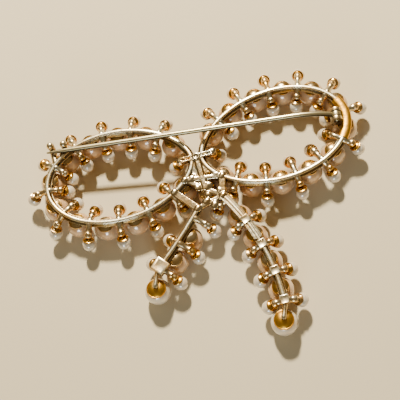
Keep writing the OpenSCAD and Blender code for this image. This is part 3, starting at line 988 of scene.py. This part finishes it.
class BROOCH_OT_arms(bpy.types.Operator):
    """Cast the arms with their round ends"""
    bl_idname = "brooch.arms"
    bl_label = "Arms"

    def execute(self, context):
        groups = {
            "left_loop_arms": loop_arms(LEFT),
            "right_loop_arms": loop_arms(RIGHT),
            "tail_arms": tail_arms(TAILS[LEFT]) + tail_arms(TAILS[RIGHT]),
            "tie_arms": [tie_arm(side) for side in SIDES],
        }
        for name, arms in groups.items():
            cast_metal(arm_copies(name, arms))
        return {"FINISHED"}


class BROOCH_OT_cups(bpy.types.Operator):
    """Spin the cups that hold the pearls"""
    bl_idname = "brooch.cups"
    bl_label = "Cups"

    def execute(self, context):
        s = sizes()
        for side, word in SIDE_WORDS.items():
            tail = TAILS[side]
            arms = loop_arms(side) + tail_arms(tail) + [tie_arm(side)]
            big = [loop_place(side, run) for run in pearl_runs()] + tail_pearls(tail)
            made = [
                copies(cup(s.small_pearl_d, s.small_cup_d), [lean(*arm) for arm in arms], "cups"),
                placed(cup(s.big_pearl_d, s.big_cup_d), big, s.big_pearl_d / 2, "cups"),
            ]
            cast_metal(joined(made, word + "_cups"), "cupped")
            end_cup = cup(s.end_pearl_d, s.end_cup_d)
            end = in_brooch(tail_end_place(tail))
            cast_metal(placed(end_cup, [end], s.end_pearl_d / 2, word + "_end_cup"), "deep")
        knot_cup = cup(s.knot_pearl_d, s.knot_cup_d)
        cast_metal(placed(knot_cup, knot_pearl_places(), levels().knot_pearl, "knot_cups"))
        return {"FINISHED"}


class BROOCH_OT_knot(bpy.types.Operator):
    """Lay the knot's bars, its tie ring and the solder that joins them"""
    bl_idname = "brooch.knot"
    bl_label = "Knot"

    def execute(self, context):
        z = levels()
        end = loop_run()
        left_foot = rail_place(LEFT, end - LEFT_FOOT_RUN)
        right_foot = rail_place(RIGHT, end - RIGHT_FOOT_RUN)
        left_brace = rail_place(LEFT, end - LEFT_BRACE_RUN)
        left_root = in_brooch(tail_root(TAILS[LEFT]))
        right_root = in_brooch(tail_root(TAILS[RIGHT]))
        tie = tie_place()
        lower = knot_pearl_places()[1]
        half_tie = Vector((TIE_HALF_L, 0))
        # Each bar: its two ends and its width in mm
        spans = [
            (tie, lower, 1.15), (left_foot, right_foot, 1.15), (right_foot, right_root, 1.6),
            (left_brace, left_root, 1.7), (left_root, right_root, 1.15), (left_foot, right_root, 1.15),
        ]
        made = []
        for i, (start, stop, width) in enumerate(spans):
            lift = (0.1 + 0.04 * i) * MM
            made.append(bar(start, stop, width * MM, z.web + lift, z.back + 0.2 * MM - lift))
        # The tie is a channel of a wall, a floor and a wall: the shift, width and top of each in mm
        for out, width, rise in ((-0.72, 0.42, 0.3), (-0.3, 0.7, -0.25), (0.12, 0.42, 0.3)):
            start, stop = (tie + way * half_tie + Vector((0, out * MM)) for way in SIDES)
            made.append(bar(start, stop, width * MM, z.web + 0.2 * MM, z.back + rise * MM))
        # Each plate: its corners, and its gaps to the webs' undersides and to the backs, in mm
        plates = [
            ([(-2.3, 8.2), (2.7, 8), (1.3, 12.2), (-0.9, 12.4)], 0.15, 0.3),
            ([(-2.7, 7.4), (0.2, 2.9), (1.7, 4.3), (-0.2, 7.4)], 0.2, 0.45),
        ]
        for corners, under, over in plates:
            made.append(plate(corners, z.web + under * MM, z.back - over * MM))
        # Each lump: its place and radius in mm, how much longer it is than wide, and its turn
        lumps = [
            (3.2, 7.4, 0.8, 1.5, -12), (0, 10.3, 0.75, 1.3, 70), (1, 5.4, 0.95, 1.25, -40),
            (-0.3, 1.8, 0.85, 1.3, 20), (1.2, 0.5, 0.9, 1.3, 60), (0.4, 3.2, 0.8, 1.3, -50),
            (-2.2, 7.9, 0.85, 1.35, 30), (3, 3.4, 0.75, 1.5, 85), (-1.4, 5.4, 0.75, 1.4, -55),
        ]
        for x, y, radius, long, turn in lumps:
            made.append(blob(Vector((x, y)) * MM, z.back - 0.32 * MM, radius * MM, 0.55, long, turn))
        soldered = [
            left_foot, right_foot, left_root, right_root, tie - half_tie, tie + half_tie, left_brace,
        ]
        for place in soldered:
            made.append(blob(place, z.back - 0.3 * MM, 0.85 * MM, 0.6, 1.3, 35))
        made.append(settled(added(
            bpy.ops.mesh.primitive_torus_add, major_radius=0.62 * MM, minor_radius=0.28 * MM,
            major_segments=32, minor_segments=12,
            location=(tie.x, tie.y - 0.3 * MM, z.back + 0.1 * MM),
        )))
        knot = joined(made, "knot")
        # The solder has run the bars, plates and lumps into one another
        modified(knot, "REMESH", mode="VOXEL", voxel_size=0.11 * MM)
        modified(knot, "SMOOTH", factor=0.5, iterations=5)
        cast_metal(faced_out(knot), "soldered")
        return {"FINISHED"}


class BROOCH_OT_tail_blocks(bpy.types.Operator):
    """Set the square blocks of the tails and the pegs of their last pearls"""
    bl_idname = "brooch.tail_blocks"
    bl_label = "Tail blocks and pegs"

    def execute(self, context):
        s = sizes()
        z = levels()
        low = z.web + 0.1 * MM
        high = z.back + 0.2 * MM
        right = TAILS[RIGHT]
        # A plate with raised edges covers the first part of the right tail's rail
        runs = stepped(0, 12.5 * MM, TAIL_STEPS)
        points = rail_path(tail_place, right, runs, z.back - 0.36 * MM)
        made = [swept(points, mirrored(TAIL_PLATE_SIDE), False)]
        for i in range(1, right.pairs - 1):
            made.append(block(right, tail_pair_run(right, i), low, high))
        # A peg swells and narrows: each share of its length, and the share of its radius there
        peg_shape = [
            (0, 1), (0.15, 1.15), (0.35, 0.95), (0.6, 0.95), (0.85, 1.2), (0.97, 1.2), (1.06, 0.8),
        ]
        peg_r = s.arm_d / 2
        peg_z = s.end_pearl_d + s.cup_gap + CUP_SEAT + peg_r
        for tail in TAILS.values():
            made.append(block(tail, tail.length, low, high))
            start = at(tail_place(tail, tail.length + tail.block_w / 3), z.arm)
            end = at(in_brooch(tail_end_place(tail)), peg_z)
            points = [start.lerp(end, share) for share, width in peg_shape]
            made.append(round_wire(points, [peg_r * width for share, width in peg_shape]))
        cast_metal(joined(made, "tail_blocks"))
        return {"FINISHED"}


class BROOCH_OT_hinge(bpy.types.Operator):
    """Build the hinge's lugs and floor, and the rivet with its domed ends"""
    bl_idname = "brooch.hinge"
    bl_label = "Hinge"

    def execute(self, context):
        s = sizes()
        matrix = pin_matrix()
        lug_d = s.eye_d + 2 * LUG_RIM
        hinge_w = s.eye_w + 2 * (EYE_GAP + LUG_T)
        base = levels().web + 0.1 * MM - hinge_level()
        edge_r = 0.12 * MM
        made = []
        for side in SIDES:
            lug = settled(added(
                bpy.ops.mesh.primitive_cylinder_add, vertices=40, radius=lug_d / 2, depth=LUG_T,
                location=(0, side * (hinge_w - LUG_T) / 2, 0), rotation=(math.radians(90), 0, 0),
            ))
            # The lower half is drawn down to the hinge's base
            for vertex in lug.data.vertices:
                if vertex.co.z < -0.01 * MM:
                    vertex.co.z = base
            made.append(bevelled(lug, edge_r))
        floor_top = -s.eye_d / 2 - FLOOR_GAP
        floor_l = HINGE_INSET + lug_d / 2
        floor_place = (lug_d / 2 - floor_l / 2, 0, (floor_top + base) / 2)
        made.append(bevelled(box((floor_l, hinge_w, floor_top - base), floor_place), edge_r))
        cast_metal(settled(joined(made, "hinge"), matrix))

        # A wide strap lies over the rail's outer end, and the hinge is soldered to its inner edge
        runs = stepped(outer_run() - 3.4 * MM, outer_run() + 6.8 * MM, TAIL_STEPS)
        points = rail_path(rail_place, RIGHT, runs, levels().back - 0.85 * MM)
        strap = swept(points, mirrored(STRAP_SIDE), False)
        cast_metal(joined([strap], "hinge_strap"), "deep")

        # A domed head, from its tip inwards: the share of its length, and of the rivet's radius there
        dome = [(1, 0.5), (0.75, 1.15), (0.3, 1.45), (0.025, 1.5), (0, 1)]
        rivet_r = s.rivet_d / 2
        half = hinge_w / 2
        head = 0.4 * MM
        stations = [(-half - head * out, rivet_r * width) for out, width in dome]
        stations += [(half + head * out, rivet_r * width) for out, width in reversed(dome)]
        rivet = joined([turned_form(stations, 32)], "rivet")
        settled(rivet, matrix @ Matrix.Rotation(math.radians(90), 4, "Z"))
        finished(rivet, plated_spring_wire(), FIXED_BODY, "pin_metal", "hinge_rivet")
        return {"FINISHED"}


class BROOCH_OT_catch(bpy.types.Operator):
    """Bend the two ball-tipped prongs of the catch"""
    bl_idname = "brooch.catch"
    bl_label = "Catch"

    def execute(self, context):
        # The balls stand beside the pin and clear of it, so that it can swing open
        prong_side = sizes().pin_d / 2 + PRONG_BALL_R + 0.1 * MM
        foot_z = levels().web + 0.52 * MM
        matrix = pin_matrix()
        made = []
        for way in (-0.5, 0.5):
            run = to_catch().length + PRONG_SHIFT + way * PRONG_PITCH
            foot = at(rail_place(LEFT, outer_run() - FOOT_RUN + way * FOOT_PITCH), foot_z)
            top = matrix @ Vector((run, -prong_side, pin_level(run) + BALL_RISE))
            elbow = at(top, foot_z)
            near = foot.lerp(elbow, 0.78)
            high = elbow.lerp(top, 0.35)
            rise = [near.lerp(elbow, t).lerp(elbow.lerp(high, t), t) for t in (0, 0.25, 0.5, 0.75, 1)]
            points = [foot, foot.lerp(elbow, 0.5)] + rise + [top]
            made.append(round_wire(points, [PRONG_R] * len(points)))
            tip = ball(PRONG_BALL_R, 7)
            tip.data.transform(Matrix.Translation(top))
            made.append(tip)
        cast_metal(joined(made, "catch"))
        return {"FINISHED"}


class BROOCH_OT_pin(bpy.types.Operator):
    """Draw the pin's wire with its neck and point, and roll its eye"""
    bl_idname = "brooch.pin"
    bl_label = "Pin"

    def execute(self, context):
        s = sizes()
        bend_x, bend_z, fall = pin_bend()
        tip_run = to_catch().length + PRONG_SHIFT + PRONG_PITCH / 2 + TIP_REACH
        # The neck starts inside the eye's wall
        first = math.asin((s.rivet_d + s.eye_d) / 4 / s.neck_r) - s.neck_rise
        points = [
            Vector((bend_x + s.neck_r * math.sin(a), 0, bend_z + s.neck_r * math.cos(a)))
            for a in stepped(first, fall, NECK_STEPS)
        ]
        # The wire is drawn a tenth thicker than its solid
        wire_r = s.pin_d / 2 * 1.1
        start = points[-1]
        end = Vector((tip_run, 0, pin_level(tip_run)))
        point_start = end - (end - start).normalized() * s.point_l
        points += [start.lerp(point_start, i / STEM_STEPS) for i in range(1, STEM_STEPS + 1)]
        radii = [wire_r] * len(points)
        # The point: each share of its length, and the share of the wire's radius there
        taper = [(0.25, 0.93), (0.5, 0.78), (0.75, 0.58), (0.92, 0.4), (1.0, s.pin_tip_d / s.pin_d)]
        points += [point_start.lerp(end, share) for share, width in taper]
        radii += [wire_r * width for share, width in taper]
        wire = round_wire(points, radii)

        # The eye is a round whose two flat ends are opened and bridged by its bore
        eye = settled(added(
            bpy.ops.mesh.primitive_cylinder_add, vertices=48, radius=s.eye_d / 2, depth=s.eye_w,
            rotation=(math.radians(90), 0, 0),
        ))
        mesh = bmesh.new()
        mesh.from_mesh(eye.data)
        ends = [face for face in mesh.faces if len(face.verts) > 4]
        wall = s.eye_d / 2 - s.rivet_d / 2 - RIVET_GAP
        for face in ends:
            bmesh.ops.inset_region(mesh, faces=[face], thickness=wall, depth=0)
        rims = [edge for face in ends for edge in face.edges]
        bmesh.ops.delete(mesh, geom=ends, context="FACES_ONLY")
        bmesh.ops.bridge_loops(mesh, edges=rims)
        mesh.to_mesh(eye.data)
        mesh.free()
        bevelled(faced_out(eye), 0.16 * MM, 4)
        pin = settled(joined([wire, eye], "pin"), pin_matrix())
        finished(pin, plated_spring_wire(), PIN_BODY, "pin_metal", "pin_stem")
        return {"FINISHED"}


class BROOCH_OT_pearls(bpy.types.Operator):
    """String out the small, big, knot and end pearls"""
    bl_idname = "brooch.pearls"
    bl_label = "Pearls"

    def execute(self, context):
        s = sizes()
        z = levels()
        # How often a ball's cube is cut: the larger the pearl, the finer
        small_cuts, knot_cuts, big_cuts = 9, 12, 15
        small = (z.small_pearl, s.small_pearl_d, small_cuts, "white")
        big = (s.big_pearl_d / 2, s.big_pearl_d, big_cuts, "peach")
        for side, word in SIDE_WORDS.items():
            tail = TAILS[side]
            for rail, arms in (("loop", loop_arms(side)), ("tail", tail_arms(tail))):
                lacquered(f"small_pearls_{word}_{rail}", [arm.pearl for arm in arms], *small)
            loop_pearls = [loop_place(side, run) for run in pearl_runs()]
            for rail, places in (("loop", loop_pearls), ("tail", tail_pearls(tail))):
                for i, place in enumerate(places, 1):
                    lacquered(f"{word}_{rail}_pearl_{i}", [place], *big)
            end = in_brooch(tail_end_place(tail))
            lacquered(f"{word}_end_pearl", [end], s.end_pearl_d / 2, s.end_pearl_d, big_cuts, "white")
        for word, place in zip(("upper", "lower"), knot_pearl_places()):
            lacquered(f"{word}_knot_pearl", [place], z.knot_pearl, s.knot_pearl_d, knot_cuts, "peach")
        lacquered("small_pearls_tie", [tie_arm(side).pearl for side in SIDES], *small)
        return {"FINISHED"}


OPERATORS = (
    BROOCH_OT_stage, BROOCH_OT_rails, BROOCH_OT_arms, BROOCH_OT_cups, BROOCH_OT_knot,
    BROOCH_OT_tail_blocks, BROOCH_OT_hinge, BROOCH_OT_catch, BROOCH_OT_pin, BROOCH_OT_pearls,
)


class BROOCH_PT_panel(bpy.types.Panel):
    """The brooch's pieces in the order in which they are made"""
    bl_idname = "BROOCH_PT_panel"
    bl_label = "Pearl bow brooch"
    bl_space_type = "VIEW_3D"
    bl_region_type = "UI"
    bl_category = "Brooch"

    def draw(self, context):
        for operator in OPERATORS:
            self.layout.operator(operator.bl_idname)


CLASSES = (BroochSizes, BroochColours) + OPERATORS + (BROOCH_PT_panel,)


def register():
    for cls in CLASSES:
        bpy.utils.register_class(cls)
    bpy.types.Scene.brooch_sizes = bpy.props.PointerProperty(type=BroochSizes)
    bpy.types.Scene.brooch_colours = bpy.props.PointerProperty(type=BroochColours)


def unregister():
    del bpy.types.Scene.brooch_colours
    del bpy.types.Scene.brooch_sizes
    for cls in reversed(CLASSES):
        bpy.utils.unregister_class(cls)


def main():
    register()
    bpy.ops.brooch.stage()
    bpy.ops.brooch.rails()
    bpy.ops.brooch.arms()
    bpy.ops.brooch.cups()
    bpy.ops.brooch.knot()
    bpy.ops.brooch.tail_blocks()
    bpy.ops.brooch.hinge()
    bpy.ops.brooch.catch()
    bpy.ops.brooch.pin()
    bpy.ops.brooch.pearls()


if __name__ == "__main__":
    main()
